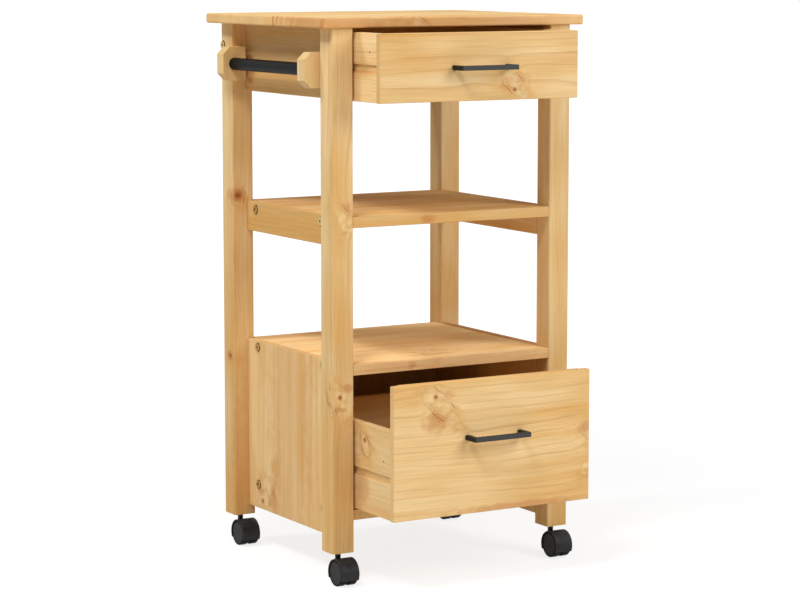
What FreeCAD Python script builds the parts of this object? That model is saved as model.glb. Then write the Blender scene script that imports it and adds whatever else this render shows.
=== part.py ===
import FreeCAD, Part
import math
import os

# Kitchen cart of solid pine on four castors, with two drawers, two open bays and a towel rail.
# Millimetres. X runs to the right, Y to the back and Z up. The origin lies on the floor,
# under the middle of the worktop. At rest both drawers stand partly open.

# Worktop and legs
work_height = 887.0  # worktop surface above the floor
top_width = 480.0
top_depth = 400.0
top_thickness = 16.0
top_corner = 4.0  # radius of the upright corners
top_round = 3.0  # radius along the upper and lower edges
side_overhang = 20.5  # worktop past the outer faces of the legs
front_overhang = 7.7
back_overhang = 15.5
leg_side = 38.0
leg_round = 3.0
edge_round = 1.0  # broken edges of the boards

# Boards between the legs
side_thickness = 12.0  # upper sides, rails and cabinet sides, flush with the legs' inner faces
upper_side_height = 110.3
back_rail_thickness = 16.0
shelf_thickness = 16.5  # both shelves and the cabinet floor
shelf_front_inset = 1.0  # shelf front behind the fronts of the legs
shelf_back_inset = 20.1  # shelf back ahead of the backs of the legs
middle_shelf_top = 579.0
middle_rail_height = 48.5
cabinet_top = 349.1  # upper edges of the cabinet sides
lower_shelf_drop = 1.2  # lower shelf below those edges
cabinet_floor_top = 115.5
cabinet_floor_inset = 12.3  # floor front behind the fronts of the legs
cabinet_side_lift = 16.6  # cabinet sides above the feet of the legs
cabinet_back_thickness = 12.0

# Towel rail, on the left legs
bracket_width = 40.0
bracket_depth = 23.5
bracket_height = 55.0
bracket_chamfer = 11.5
bracket_overlap = 13.5  # bracket behind the outer face of the leg
towel_drop = 65.0  # bar axis below the worktop
bar_radius = 10.0
bar_wall = 1.2
bar_seat = 11.0  # bar end inside its bracket
bar_fit = 0.15

# Drawers
top_drawer_open = 80.0  # how far each drawer stands out at rest
bottom_drawer_open = 121.0
top_drawer_height = 105.9
top_drawer_headroom = 6.6  # under the worktop
bottom_drawer_headroom = 0.9  # under the lower shelf
bottom_drawer_clearance = 4.5  # over the cabinet floor
bottom_drawer_side_height = 140.0
drawer_back_gap = 15.4  # closed drawer to the cabinet back
front_thickness = 16.0
front_lip = 10.3  # what the end rabbets leave of the front
front_gap = 1.25  # between a front and the legs
front_round = 1.5
drawer_side_thickness = 12.0
drawer_side_gap = 3.9  # drawer side to the leg
drawer_back_thickness = 12.0
panel_thickness = 4.0  # drawer bottom
panel_lift = 8.0
panel_groove = 5.0  # depth of the groove that holds the bottom
panel_fit = 0.2
pin_hole_radius = 1.9  # pilot hole in the outer face of each drawer side
pin_hole_depth = 6.0
pin_hole_setback = 35.5  # behind the face of the front
top_pin_height = 76.6  # above the lower edge of the drawer
bottom_pin_height = 89.6

# Runners
runner_height = 11.8
runner_setback = 27.0  # behind the fronts of the legs
runner_end_gap = 10.0  # ahead of the cabinet back
runner_tip_gap = 0.8  # to the bottom of the groove
groove_depth = 4.0
groove_rest_gap = 0.3  # drawer over the runner that carries it
groove_lower_gap = 0.9
top_groove_height = 51.75  # runner axis above the lower edge of the drawer
bottom_groove_height = 61.95

# Handles
handle_spacing = 96.0  # between the two screws
handle_bar = 7.5
handle_projection = 30.0
handle_corner = 2.5
handle_edge = 0.6
top_handle_height = 52.0  # above the lower edge of the drawer front
bottom_handle_height = 121.0
handle_screw_radius = 2.0
handle_screw_bite = 9.0
handle_head_radius = 4.0
handle_head_height = 2.5

# Panel bolts and barrel nuts
bolt_radius = 3.0
bolt_head_radius = 7.5
bolt_head_height = 2.0
bolt_head_taper = 0.8
bolt_socket_width = 4.0  # across the flats
bolt_socket_depth = 1.4
bolt_tail = 3.0  # past the nut
bolt_fit = 0.25
nut_radius = 5.0
nut_bore_fit = 0.1
nut_fit = 0.15
nut_setback = 30.0  # nut axis from the end of the board
nut_cover = 3.0  # wood over the blind end of the nut
middle_bolt_drop = 12.0  # below the upper face of its shelf
middle_bolt_front = 45.1  # behind the front leg
middle_bolt_back = 32.8  # ahead of the back leg
lower_bolt_drop = 9.3
floor_bolt_drop = 7.5
cabinet_bolt_front = 41.1
cabinet_bolt_back = 36.8
back_bolt_first_drop = 36.0  # below the worktop
back_bolt_spacing = 38.0

# Dowels and runner screws
dowel_radius = 3.0
dowel_length = 24.0
dowel_fit = 0.1
dowel_end_gap = 0.5
dowel_cover = 4.0  # wood over a dowel in the face of a board
back_dowel_spacing = 110.0
bracket_dowel_spacing = 30.0
screw_radius = 1.5
screw_head_radius = 2.7
screw_head_depth = 1.6
screw_bite = 8.0  # into the board behind the runner
screw_end = 20.0  # first and last screw from the runner's ends
screw_fit = 0.1

# Castors
wheel_radius = 20.5
wheel_width = 12.5
wheel_round = 1.5
wheel_dish_radius = 18.0
wheel_dish_depth = 0.6
wheel_cap = 2.0  # wall over the end of the axle
wheel_side_gap = 0.4
axle_radius = 2.5
axle_fit = 0.05
axle_end_gap = 0.3
hood_gap = 0.8  # over the tread
hood_wall = 1.5
hood_round = 0.6
hood_lip = 10.5  # lower edge of the hood above the floor
hood_overhang = 0.5  # hood past the face of the wheel
web_thickness = 5.0
web_radius = 15.0
trail = 19.0  # stem axis behind the axle
neck_radius = 4.5
neck_height = 7.7  # hood to leg
neck_seat = 1.4
neck_floor = 0.5  # hood left under the neck
boss_radius = 6.5
tang_radius = 1.5
tang_length = 16.0
stem_radius = 4.0
stem_length = 30.0
stem_fit = 0.08
stem_press = 0.05
swivel_gap = 0.3  # neck to leg
socket_radius = 5.5
socket_cap = 1.0
socket_end_gap = 1.0
socket_fit = 0.1
dimple_radius = 1.5
dimple_depth = 1.0
dimple_rise = 12.0  # above the axle

flat = 0.01  # an edge is level, or a face thin, below this

# Places worked out from the sizes above
under_top = work_height - top_thickness
leg_out = top_width / 2 - side_overhang
leg_in = leg_out - leg_side
leg_x = leg_in + leg_side / 2
side_out = leg_in + side_thickness
front_face = front_overhang - top_depth / 2
front_leg_back = front_face + leg_side
back_face = top_depth / 2 - back_overhang
back_leg_front = back_face - leg_side
front_leg_y = front_face + leg_side / 2
back_leg_y = back_face - leg_side / 2
shelf_front = front_face + shelf_front_inset
shelf_back = back_face - shelf_back_inset
upper_side_bottom = under_top - upper_side_height
cabinet_back_front = shelf_back - cabinet_back_thickness
back_rail_front = back_face - back_rail_thickness
bar_x = bracket_overlap - bracket_width / 2 - leg_out
bar_z = under_top - towel_drop
pocket_radius = wheel_radius + hood_gap
hood_radius = pocket_radius + hood_wall
leg_bottom = wheel_radius + hood_radius + neck_height
cabinet_side_bottom = leg_bottom + cabinet_side_lift
lower_shelf_top = cabinet_top - lower_shelf_drop
lower_shelf_under = lower_shelf_top - shelf_thickness
drawer_depth = cabinet_back_front - drawer_back_gap - front_face
drawer_out = leg_in - drawer_side_gap
drawer_in = drawer_out - drawer_side_thickness
front_half = leg_in - front_gap
runner_tip = drawer_out - groove_depth + runner_tip_gap
top_drawer_bottom = under_top - top_drawer_headroom - top_drawer_height
bottom_drawer_bottom = cabinet_floor_top + bottom_drawer_clearance
bottom_front_height = lower_shelf_under - bottom_drawer_headroom - bottom_drawer_bottom
top_runner_z = top_drawer_bottom + top_groove_height
bottom_runner_z = bottom_drawer_bottom + bottom_groove_height
nut_x = leg_in - nut_setback


def point(x, y, z):
    return FreeCAD.Vector(x, y, z)


def block(x, y, z):
    """Box between the low and high ends of each axis."""
    return Part.makeBox(x[1] - x[0], y[1] - y[0], z[1] - z[0], point(x[0], y[0], z[0]))


def board(x, y, z, rounding):
    """Box with all its edges rounded."""
    solid = block(x, y, z)
    return solid.makeFillet(rounding, solid.Edges)


def rod(radius, start, end):
    """Cylinder between two points."""
    return Part.makeCylinder(radius, start.distanceToPoint(end), start, end - start)


def rounded_rod(radius, start, end, rounding):
    """Cylinder with both rims rounded."""
    solid = rod(radius, start, end)
    rims = [edge for edge in solid.Edges if isinstance(edge.Curve, Part.Circle)]
    return solid.makeFillet(rounding, rims)


def lengthened(start, end, extra):
    """The same span, longer by extra at both ends."""
    step = (end - start).normalize() * extra
    return start - step, end + step


def mirrored(shape):
    """Copy on the other side of the cart."""
    return shape.mirror(point(0, 0, 0), point(1, 0, 0))


def upright_edges(shape):
    return [edge for edge in shape.Edges if edge.BoundBox.XLength < flat and edge.BoundBox.YLength < flat]


def save(name, *solids):
    shape = solids[0] if len(solids) == 1 else Part.makeCompound(solids)
    shape.exportStep("parts/" + name + ".step")


def dowel_spans():
    """Ends of every dowel in the frame."""
    half = dowel_length / 2
    spans = []
    side_x = leg_in + side_thickness / 2
    side_rows = (
        (upper_side_bottom, under_top, 2),
        (middle_shelf_top - middle_rail_height, middle_shelf_top, 2),
        (cabinet_side_bottom, cabinet_top, 3),
    )
    for x in (-side_x, side_x):
        for low, high, count in side_rows:
            for index in range(count):
                z = low + (high - low) * (index + 0.5) / count
                for y in (front_leg_back, back_leg_front):
                    spans.append((point(x, y - half, z), point(x, y + half, z)))
    for x in (-leg_x, leg_x):
        for y in (front_leg_y, back_leg_y):
            spans.append((point(x, y, under_top - half), point(x, y, work_height - dowel_cover)))
    back_y = shelf_back - cabinet_back_thickness / 2
    for x in (-back_dowel_spacing, 0.0, back_dowel_spacing):
        for low, high in (
            (lower_shelf_under - half, lower_shelf_top - dowel_cover),
            (cabinet_floor_top - shelf_thickness + dowel_cover, cabinet_floor_top + half),
        ):
            spans.append((point(x, back_y, low), point(x, back_y, high)))
    bracket_x = bracket_overlap / 2 - leg_out
    for z in (bar_z - bracket_dowel_spacing / 2, bar_z + bracket_dowel_spacing / 2):
        for y in (front_leg_back, back_leg_front):
            spans.append((point(bracket_x, y - half, z), point(bracket_x, y + half, z)))
    return spans


def bolt_seats():
    """Face X, Y, Z of each panel bolt on the right, with the span of its barrel nut."""
    seats = []
    middle_rows = (front_leg_back + middle_bolt_front, back_leg_front - middle_bolt_back)
    cabinet_rows = (front_leg_back + cabinet_bolt_front, back_leg_front - cabinet_bolt_back)
    shelves = (
        (middle_shelf_top, middle_bolt_drop, middle_rows),
        (lower_shelf_top, lower_bolt_drop, cabinet_rows),
        (cabinet_floor_top, floor_bolt_drop, cabinet_rows),
    )
    for shelf_top, drop, rows in shelves:
        for y in rows:
            nut = (point(nut_x, y, shelf_top - shelf_thickness), point(nut_x, y, shelf_top - nut_cover))
            seats.append((side_out, y, shelf_top - drop, nut))
    rail_y = back_face - back_rail_thickness / 2
    for drop in (back_bolt_first_drop, back_bolt_first_drop + back_bolt_spacing):
        z = under_top - drop
        nut = (point(nut_x, back_rail_front, z), point(nut_x, back_face - nut_cover, z))
        seats.append((leg_out, rail_y, z, nut))
    return seats


def panel_bolt(face_x, y, z):
    """Flat-headed bolt along X, with a hexagon socket."""
    tip = point(nut_x - nut_radius - bolt_tail, y, z)
    shank = rod(bolt_radius, tip, point(face_x, y, z))
    outward = point(1, 0, 0)
    small = bolt_head_radius - bolt_head_taper
    head = Part.makeCone(bolt_head_radius, small, bolt_head_height, point(face_x, y, z), outward)
    hexagon_radius = bolt_socket_width / math.sqrt(3)
    corners = []
    for index in range(7):
        angle = index * math.pi / 3
        across = hexagon_radius * math.cos(angle)
        up = hexagon_radius * math.sin(angle)
        corners.append(point(face_x + bolt_head_height, y + across, z + up))
    hexagon = Part.Face(Part.makePolygon(corners))
    socket = hexagon.extrude(point(-bolt_socket_depth, 0, 0))
    return shank.fuse(head).removeSplitter().cut(socket)


def barrel_nut(nut, y, z):
    """Cross dowel that the bolt runs through."""
    bore_radius = bolt_radius + nut_bore_fit
    bore = rod(bore_radius, point(nut_x - 2 * nut_radius, y, z), point(nut_x + 2 * nut_radius, y, z))
    return rod(nut_radius, *nut).cut(bore)


def screw_places():
    """Y of each screw along a runner."""
    first = front_face + runner_setback + screw_end
    last = cabinet_back_front - runner_end_gap - screw_end
    return (first, (first + last) / 2, last)


def runner_screw(y, z, fit):
    """Countersunk screw from the runner into the board behind it."""
    tip = point(leg_in + screw_bite + fit, y, z)
    start = point(runner_tip, y, z)
    shank = rod(screw_radius + fit, start, tip)
    wide = screw_head_radius + fit
    head = Part.makeCone(wide, screw_radius + fit, screw_head_depth, start, point(1, 0, 0))
    return shank.fuse(head)


def frame_holes():
    """Every hole that lines up through two or more pieces of the frame."""
    holes = []
    for span in dowel_spans():
        holes.append(rod(dowel_radius + dowel_fit, *lengthened(*span, dowel_end_gap)))
    right = []
    for face_x, y, z, nut in bolt_seats():
        end = nut_x - nut_radius - 2 * bolt_tail
        right.append(rod(bolt_radius + bolt_fit, point(end, y, z), point(face_x, y, z)))
        right.append(rod(nut_radius + nut_fit, *nut))
    for z in (top_runner_z, bottom_runner_z):
        for y in screw_places():
            right.append(runner_screw(y, z, screw_fit))
    for hole in right:
        holes += [hole, mirrored(hole)]
    for x in (-leg_x, leg_x):
        for y in (front_leg_y, back_leg_y):
            top = leg_bottom + stem_length + socket_end_gap + socket_cap
            holes.append(rod(socket_radius + socket_fit, point(x, y, leg_bottom), point(x, y, top)))
    return holes


def drilled(solid, holes):
    near = [hole for hole in holes if hole.BoundBox.intersect(solid.BoundBox)]
    return solid.cut(near) if near else solid


def make_worktop(holes):
    half_width = top_width / 2
    half_depth = top_depth / 2
    solid = block((-half_width, half_width), (-half_depth, half_depth), (under_top, work_height))
    solid = solid.makeFillet(top_corner, upright_edges(solid))
    level = [edge for edge in solid.Edges if edge.BoundBox.ZLength < flat]
    save("table_top", drilled(solid.makeFillet(top_round, level), holes))


def make_legs(holes):
    for x_name, x in (("left", -leg_x), ("right", leg_x)):
        for y_name, y in (("front", front_leg_y), ("back", back_leg_y)):
            half = leg_side / 2
            solid = block((x - half, x + half), (y - half, y + half), (leg_bottom, under_top))
            solid = solid.makeFillet(leg_round, upright_edges(solid))
            save("leg_" + y_name + "_" + x_name, drilled(solid, holes))


def make_side_boards(holes):
    """Upper sides, middle rails and cabinet sides, each between a front and a back leg."""
    boards = (
        ("upper_side", upper_side_bottom, under_top),
        ("middle_rail", middle_shelf_top - middle_rail_height, middle_shelf_top),
        ("cabinet_side", cabinet_side_bottom, cabinet_top),
    )
    for name, low, high in boards:
        solid = board((leg_in, side_out), (front_leg_back, back_leg_front), (low, high), edge_round)
        save(name + "_right", drilled(solid, holes))
        save(name + "_left", drilled(mirrored(solid), holes))


def make_shelves(holes):
    """Shelves, cabinet floor, cabinet back and upper back rail, all between the legs."""
    wide = (-leg_in, leg_in)
    boards = (
        ("middle_shelf", (shelf_front, shelf_back), (middle_shelf_top - shelf_thickness, middle_shelf_top)),
        ("lower_shelf", (shelf_front, shelf_back), (lower_shelf_under, lower_shelf_top)),
        (
            "cabinet_floor",
            (front_face + cabinet_floor_inset, shelf_back),
            (cabinet_floor_top - shelf_thickness, cabinet_floor_top),
        ),
        (
            "cabinet_back",
            (cabinet_back_front, shelf_back),
            (cabinet_floor_top, lower_shelf_under),
        ),
        ("upper_back_rail", (back_rail_front, back_face), (upper_side_bottom, under_top)),
    )
    for name, deep, high in boards:
        save(name, drilled(board(wide, deep, high, edge_round), holes))


def make_towel_rail(holes):
    x = (-leg_out - bracket_width + bracket_overlap, bracket_overlap - leg_out)
    z = (bar_z - bracket_height / 2, bar_z + bracket_height / 2)
    places = (
        ("front", (front_leg_back, front_leg_back + bracket_depth)),
        ("back", (back_leg_front - bracket_depth, back_leg_front)),
    )
    inner = (front_leg_back + bracket_depth - bar_seat, back_leg_front - bracket_depth + bar_seat)
    start = point(bar_x, inner[0], bar_z)
    end = point(bar_x, inner[1], bar_z)
    bar_hole = rod(bar_radius + bar_fit, *lengthened(start, end, bar_fit))
    for name, y in places:
        solid = block(x, y, z)
        level = [edge for edge in solid.Edges if edge.BoundBox.ZLength < flat]
        outer = [edge for edge in level if edge.BoundBox.XMax < x[0] + flat]
        solid = solid.makeChamfer(bracket_chamfer, outer)
        save("towel_bracket_" + name, drilled(solid.cut(bar_hole), holes))
    save("towel_bar", rod(bar_radius, start, end).cut(rod(bar_radius - bar_wall, start, end)))


def make_runners(holes):
    y = (front_face + runner_setback, cabinet_back_front - runner_end_gap)
    for name, centre in (("top_runners", top_runner_z), ("bottom_runners", bottom_runner_z)):
        z = (centre - runner_height / 2, centre + runner_height / 2)
        solid = drilled(block((runner_tip, leg_in), y, z), holes)
        save(name, solid, mirrored(solid))


def make_frame_fasteners():
    bolts = []
    nuts = []
    for face_x, y, z, nut in bolt_seats():
        bolts.append(panel_bolt(face_x, y, z))
        nuts.append(barrel_nut(nut, y, z))
    save("panel_bolts", *bolts, *[mirrored(bolt) for bolt in bolts])
    save("barrel_nuts", *nuts, *[mirrored(nut) for nut in nuts])
    save("wood_dowels", *[rod(dowel_radius, *span) for span in dowel_spans()])
    screws = [runner_screw(y, z, 0) for z in (top_runner_z, bottom_runner_z) for y in screw_places()]
    save("runner_screws", *screws, *[mirrored(screw) for screw in screws])


def make_handle(name, face, z):
    """Square bar pull on two feet, and the screws that hold it through the drawer front."""
    half = (handle_spacing + handle_bar) / 2
    reach = face - handle_projection
    tall = (z - handle_bar / 2, z + handle_bar / 2)
    outer = block((-half, half), (reach, face), tall)
    inner = block((handle_bar - half, half - handle_bar), (reach + handle_bar, face), tall)
    solid = outer.cut(inner)
    corners = [edge for edge in upright_edges(solid) if edge.BoundBox.YMax < reach + handle_bar / 2]
    solid = solid.makeFillet(handle_corner, corners)
    level = [edge for edge in solid.Edges if edge.BoundBox.ZLength < flat]
    rims = [edge for edge in level if edge.BoundBox.YMin < face - handle_edge]
    solid = solid.makeFillet(handle_edge, rims)
    screws = []
    inside = face + front_thickness
    for x in (-handle_spacing / 2, handle_spacing / 2):
        tip = point(x, face - handle_screw_bite, z)
        solid = solid.cut(rod(handle_screw_radius + screw_fit, *lengthened(tip, point(x, face, z), 1)))
        shank = rod(handle_screw_radius, tip, point(x, inside, z))
        head = rod(handle_head_radius, point(x, inside, z), point(x, inside + handle_head_height, z))
        screws.append(shank.fuse(head))
    save(name + "_handle", solid)
    save(name + "_handle_screws", *screws)


def make_drawer(name, opened, bottom, front_height, side_height, groove_height, pin_height, handle_height):
    face = front_face - opened
    back = face + drawer_depth
    inside = face + front_thickness
    top = bottom + side_height
    handle_z = bottom + handle_height
    panel = (bottom + panel_lift, bottom + panel_lift + panel_thickness)
    panel_edge = panel_groove - panel_fit
    slot_x = drawer_in + panel_groove
    slot = block(
        (-slot_x, slot_x), (inside - panel_groove, back + 1), (panel[0] - panel_fit, panel[1] + panel_fit)
    )

    front = board((-front_half, front_half), (face, inside), (bottom, bottom + front_height), front_round)
    rabbet = block((drawer_in, leg_in), (face + front_lip, inside + 1), (bottom, bottom + front_height))
    front = front.cut([rabbet, mirrored(rabbet), slot])
    for x in (-handle_spacing / 2, handle_spacing / 2):
        hole = rod(handle_screw_radius + screw_fit, point(x, face, handle_z), point(x, inside, handle_z))
        front = front.cut(hole)
    save(name + "_front", front)

    side = board((drawer_in, drawer_out), (face + front_lip, back), (bottom, top), edge_round)
    runner_z = bottom + groove_height
    groove = block(
        (drawer_out - groove_depth, drawer_out + 1),
        (face, back + 1),
        (runner_z - runner_height / 2 - groove_lower_gap, runner_z + runner_height / 2 + groove_rest_gap),
    )
    pin_y = face + pin_hole_setback
    pin_z = bottom + pin_height
    pin_hole = rod(
        pin_hole_radius, point(drawer_out - pin_hole_depth, pin_y, pin_z), point(drawer_out, pin_y, pin_z)
    )
    side = side.cut([groove, slot, pin_hole])
    save(name + "_side_right", side)
    save(name + "_side_left", mirrored(side))

    wide = (-drawer_in, drawer_in)
    save(name + "_back", board(wide, (back - drawer_back_thickness, back), (panel[1], top), edge_round))
    panel_x = drawer_in + panel_edge
    save(name + "_bottom", block((-panel_x, panel_x), (inside - panel_edge, back), panel))
    make_handle(name, face, handle_z)


def castor_hood(x, y, axle_y, half):
    """Barrel over both wheels, with the web between them and the boss for the stem."""
    axle_z = wheel_radius
    seat = neck_seat_height()
    low = point(x - half, axle_y, axle_z)
    high = point(x + half, axle_y, axle_z)
    hood = rounded_rod(hood_radius, low, high, hood_round)
    around = 2 * hood_radius
    hood = hood.cut(block((x - half, x + half), (axle_y - around, axle_y + around), (-around, hood_lip)))
    web = (x - web_thickness / 2, x + web_thickness / 2)
    disc = rod(web_radius, point(web[0], axle_y, axle_z), point(web[1], axle_y, axle_z))
    boss = rod(boss_radius, point(x, y, axle_z), point(x, y, seat + neck_seat))
    arm = block(web, (axle_y, y), (axle_z, seat))
    hood = hood.fuse([disc, boss, arm]).removeSplitter()
    dimple_y = axle_y - math.sqrt(hood_radius**2 - dimple_rise**2)
    dimple = point(x, dimple_y, axle_z + dimple_rise)
    inward = (point(x, axle_y, axle_z) - dimple).normalize() * dimple_depth
    cuts = [
        rod(pocket_radius, point(web[1], axle_y, axle_z), high + point(boss_radius, 0, 0)),
        rod(pocket_radius, low - point(boss_radius, 0, 0), point(web[0], axle_y, axle_z)),
        rod(axle_radius, low, high),
        rod(neck_radius + stem_press, point(x, y, seat), point(x, y, seat + 2 * neck_seat)),
        rod(tang_radius + stem_press, point(x, y, seat - tang_length), point(x, y, seat)),
        rod(dimple_radius, dimple - inward, dimple + inward),
    ]
    return hood.cut(cuts)


def neck_seat_height():
    """Level at which the neck stands on the hood, clear of the wheels' pockets."""
    nearest = max(trail - neck_radius, 0)
    rise = math.sqrt(max(pocket_radius**2 - nearest**2, 0))
    return wheel_radius + rise + neck_floor


def castor_wheel(x, axle_y, inner, outer):
    """Wheel on the right of its castor: blind bore inside, shallow dish outside."""
    axle_z = wheel_radius
    solid = rounded_rod(
        wheel_radius, point(x + inner, axle_y, axle_z), point(x + outer, axle_y, axle_z), wheel_round
    )
    bore_end = point(x + outer - wheel_cap, axle_y, axle_z)
    bore = rod(axle_radius + axle_fit, point(x + inner, axle_y, axle_z), bore_end)
    dish_start = point(x + outer - wheel_dish_depth, axle_y, axle_z)
    dish = rod(wheel_dish_radius, dish_start, point(x + outer, axle_y, axle_z))
    return solid.cut([bore, dish])


def make_castor(name, x, y):
    axle_y = y - trail
    axle_z = wheel_radius
    inner = web_thickness / 2 + wheel_side_gap
    outer = inner + wheel_width
    seat = neck_seat_height()
    neck = rod(neck_radius, point(x, y, seat), point(x, y, leg_bottom - swivel_gap))
    pin = rod(stem_radius, point(x, y, leg_bottom - swivel_gap), point(x, y, leg_bottom + stem_length))
    tang = rod(tang_radius, point(x, y, seat - tang_length + swivel_gap), point(x, y, seat))
    save(name + "_stem", neck.fuse([pin, tang]))
    save(name + "_hood", castor_hood(x, y, axle_y, outer + hood_overhang))
    axle_end = outer - wheel_cap - axle_end_gap
    left = point(x - axle_end, axle_y, axle_z)
    right = point(x + axle_end, axle_y, axle_z)
    save(name + "_axle", rod(axle_radius, left, right))
    save(name + "_wheel_right", castor_wheel(x, axle_y, inner, outer))
    save(name + "_wheel_left", mirrored(castor_wheel(-x, axle_y, inner, outer)))


def make_castors():
    sockets = []
    for x_name, x in (("left", -leg_x), ("right", leg_x)):
        for y_name, y in (("front", front_leg_y), ("back", back_leg_y)):
            make_castor("castor_" + y_name + "_" + x_name, x, y)
            bore_top = leg_bottom + stem_length + socket_end_gap
            sleeve = rod(socket_radius, point(x, y, leg_bottom), point(x, y, bore_top + socket_cap))
            bore = rod(stem_radius + stem_fit, point(x, y, leg_bottom), point(x, y, bore_top))
            sockets.append(sleeve.cut(bore))
    save("castor_sockets", *sockets)


os.makedirs("parts", exist_ok=True)
frame_hole_list = frame_holes()
make_worktop(frame_hole_list)
make_legs(frame_hole_list)
make_side_boards(frame_hole_list)
make_shelves(frame_hole_list)
make_towel_rail(frame_hole_list)
make_runners(frame_hole_list)
make_frame_fasteners()
make_drawer(
    "top_drawer",
    top_drawer_open,
    top_drawer_bottom,
    top_drawer_height,
    top_drawer_height,
    top_groove_height,
    top_pin_height,
    top_handle_height,
)
make_drawer(
    "bottom_drawer",
    bottom_drawer_open,
    bottom_drawer_bottom,
    bottom_front_height,
    bottom_drawer_side_height,
    bottom_groove_height,
    bottom_pin_height,
    bottom_handle_height,
)
make_castors()
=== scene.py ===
"""Looks of a pine kitchen cart: the finish of every piece, a plain stage and the camera."""

import math
from collections import namedtuple

import bpy
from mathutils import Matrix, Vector


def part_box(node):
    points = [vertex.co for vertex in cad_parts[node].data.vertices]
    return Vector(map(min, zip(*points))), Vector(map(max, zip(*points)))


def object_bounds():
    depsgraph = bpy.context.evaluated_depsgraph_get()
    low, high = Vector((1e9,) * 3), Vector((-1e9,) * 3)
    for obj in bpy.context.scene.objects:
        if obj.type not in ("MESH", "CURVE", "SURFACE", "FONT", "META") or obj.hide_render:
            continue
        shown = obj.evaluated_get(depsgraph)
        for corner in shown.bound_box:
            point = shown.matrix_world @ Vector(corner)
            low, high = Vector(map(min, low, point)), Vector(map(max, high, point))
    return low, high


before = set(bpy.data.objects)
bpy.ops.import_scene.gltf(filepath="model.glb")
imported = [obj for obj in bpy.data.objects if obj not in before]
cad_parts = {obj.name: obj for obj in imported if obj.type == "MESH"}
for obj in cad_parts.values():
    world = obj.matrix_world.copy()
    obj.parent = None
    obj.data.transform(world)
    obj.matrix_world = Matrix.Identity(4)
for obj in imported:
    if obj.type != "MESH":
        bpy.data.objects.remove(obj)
cad_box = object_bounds()

bl_info = {
    "name": "Pine kitchen cart",
    "version": (1, 0, 0),
    "blender": (4, 5, 0),
    "location": "3D View > Sidebar > Cart",
    "description": "Gives the packed pine kitchen cart its finishes, a plain stage and a camera",
    "category": "Object",
}

MM = 0.001
CASTORS = [f"castor_{row}_{side}" for row in ("front", "back") for side in ("left", "right")]
WHITE = (1.0, 1.0, 1.0, 1.0)

# Sizes in mm
ONE_PIECE = 1000.0  # stave width of a board that isn't glued up
STAVE_SHIFT = 5000.0  # length of wood that the staves of a board are cut from
PITH_SPREAD = 25.0  # how far a stave's heart may lie from where its board has it
RING_SWAYS = ((420, 90, 18.0), (110, 40, 2.5))  # length, width and reach of a slow and a quick sway
RAGGED_SIZE = 13  # bumps along the edge of a knot or a stain
DASH_SPACING = 5.0  # between the dark dashes beside a knot
DISH_RADIUS = 18.0  # hollow in the outer face of a castor wheel
DISH_EDGE = 0.4  # blend from its grey to the black of the rim

# Keeps the chance values of one board apart from those of the next
SEED_STEP = 7.31

# A lamp hangs so many degrees to the right of the front and above the level, and is so many m wide
Lamp = namedtuple("Lamp", "azimuth elevation width")
KEY_LAMP = Lamp(azimuth=-50, elevation=50, width=0.8)
FILL_LAMP = Lamp(azimuth=25, elevation=30, width=1.6)
SIDE_LAMP = Lamp(azimuth=-105, elevation=50, width=0.5)
LAMP_DISTANCE = 3.0  # from the camera's aim, in m
FLOOR_HALF = 40.0  # half the width of the floor, in m
FLOOR_SHADE = (0.3, 0.3, 0.3, 1.0)  # dim, so that the cart's shadow on the white floor is faint

# A board's grain runs along one axis and its widest face spreads across another. The heart of the
# tree lies pith mm across and depth mm behind the middle of the board, and its rings are so many mm
# apart, with lines of their own strength. One glue joint lies joint mm across, and further joints
# follow at each stave width. Tone makes the whole board lighter or darker, gold is how rich in resin
# its two ends are, and bands is how strongly pale and golden bands stand out.
Board = namedtuple(
    "Board",
    "grain across pith depth rings lines tone gold stave joint knots stains bands",
    defaults=(40, 60, 7.0, 0.32, 1.0, (0.0, 0.0), ONE_PIECE, -ONE_PIECE / 2, (), (), 1.0),
)

# A knot's teardrop lies along and across the grain, in mm from the middle of the board, long by
# wide, with its tail turned by degrees. Its red heart has a radius, and a place along and across
# from the teardrop's. Its across axis may differ from the board's, so that it shows on an edge. It
# fades out at its reach from the face that it shows on, or goes right through the board. Dark dashes
# beside it have a strength up to 1.
Knot = namedtuple(
    "Knot",
    "along across long wide turn heart axis face reach dashes",
    defaults=(0, None, None, 0, ONE_PIECE, 0.85),
)

# A stain is a smear, red-brown with a strength up to 1, placed as a knot is. Most stains are resin; a few
# are painted shade.
Stain = namedtuple(
    "Stain", "along across long wide strength axis face reach", defaults=(None, 0, ONE_PIECE)
)

# What a knot gives each point of the surface: how far it is from the teardrop and from the heart,
# as shares of their radii, and how much it lies beside the teardrop rather than at its tips.
Mark = namedtuple("Mark", "figure flank heart")


def linear(hex_colour):
    """Linear red, green and blue of an sRGB hex colour."""
    channels = [int(hex_colour[i : i + 2], 16) / 255 for i in (0, 2, 4)]
    return tuple(c / 12.92 if c <= 0.04045 else ((c + 0.055) / 1.055) ** 2.4 for c in channels)


def opaque(colour):
    return (*colour, 1.0)


def add(tree, kind, inputs=None, **settings):
    """Add a node, set its options, and link or set its inputs by name or place."""
    node = tree.nodes.new("ShaderNode" + kind)
    for option, value in settings.items():
        setattr(node, option, value)
    usable = [socket for socket in node.inputs if socket.enabled]
    for key, value in (inputs or {}).items():
        socket = usable[key] if isinstance(key, int) else next(s for s in usable if s.name == key)
        if isinstance(value, bpy.types.Node):
            value = next(s for s in value.outputs if s.enabled)
        if isinstance(value, bpy.types.NodeSocket):
            tree.links.new(value, socket)
        else:
            socket.default_value = value
    return node


def empty_tree(material):
    material.use_nodes = True
    material.node_tree.nodes.clear()
    return material.node_tree


def dress(node_name, material):
    """Give a CAD node its finish."""
    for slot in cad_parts[node_name].material_slots:
        slot.material = material


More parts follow.
